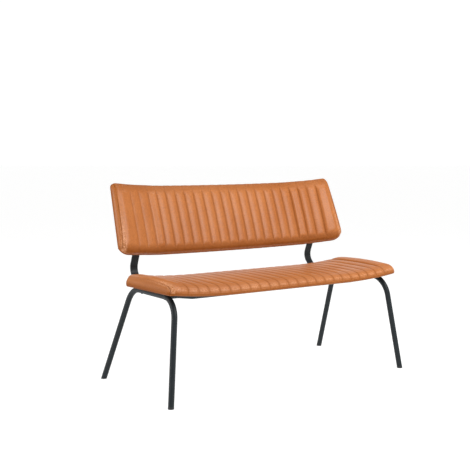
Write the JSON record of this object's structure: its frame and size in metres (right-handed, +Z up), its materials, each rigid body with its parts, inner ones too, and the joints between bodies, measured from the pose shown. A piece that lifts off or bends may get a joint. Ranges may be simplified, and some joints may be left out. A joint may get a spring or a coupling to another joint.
{
  "type": "dining bench",
  "caption": "Upholstered dining bench with a channelled leather seat and curved backrest on bent flat bars, over splayed bent tube side frames joined by cross rails.",
  "frame": {"origin": "on the floor, in the middle between the four feet", "axes": "+X to the right along the bench as seen from the front, +Y to the back, +Z up; the sitter faces -Y"},
  "size_m": [1.2752, 0.6272, 0.881],
  "materials": {
    "leather": "cognac pull-up leather, satin, fine grain",
    "coated_steel": "dark grey powder coat, satin",
    "plywood": "raw birch plywood",
    "foam": "open-cell seat foam",
    "black_cloth": "non-woven cloth",
    "black_plastic": "fine spark texture",
    "blackened_steel": "black oxide",
    "zinc_steel": "zinc plated"
  },
  "bodies": {
    "root": {"side_frame_left": "coated_steel", "side_frame_right": "coated_steel", "front_rail": "coated_steel", "rear_rail": "coated_steel", "back_support_left": "coated_steel", "back_support_right": "coated_steel", "foot_front_left": "black_plastic", "foot_front_right": "black_plastic", "foot_rear_left": "black_plastic", "foot_rear_right": "black_plastic", "seat_shell": "plywood", "seat_foam": "foam", "seat_cover": "leather", "seat_end_panel_left": "leather", "seat_end_panel_right": "leather", "seat_dust_cover": "black_cloth", "seat_spacers": "black_plastic", "seat_bolts": "blackened_steel", "seat_washers": "blackened_steel", "seat_t_nuts": "zinc_steel", "back_shell": "plywood", "back_foam": "foam", "back_cover": "leather", "back_end_panel_left": "leather", "back_end_panel_right": "leather", "back_rear_cover": "leather", "back_bolts": "blackened_steel", "back_washers": "blackened_steel", "back_t_nuts": "zinc_steel"}
  },
  "joints": []
}
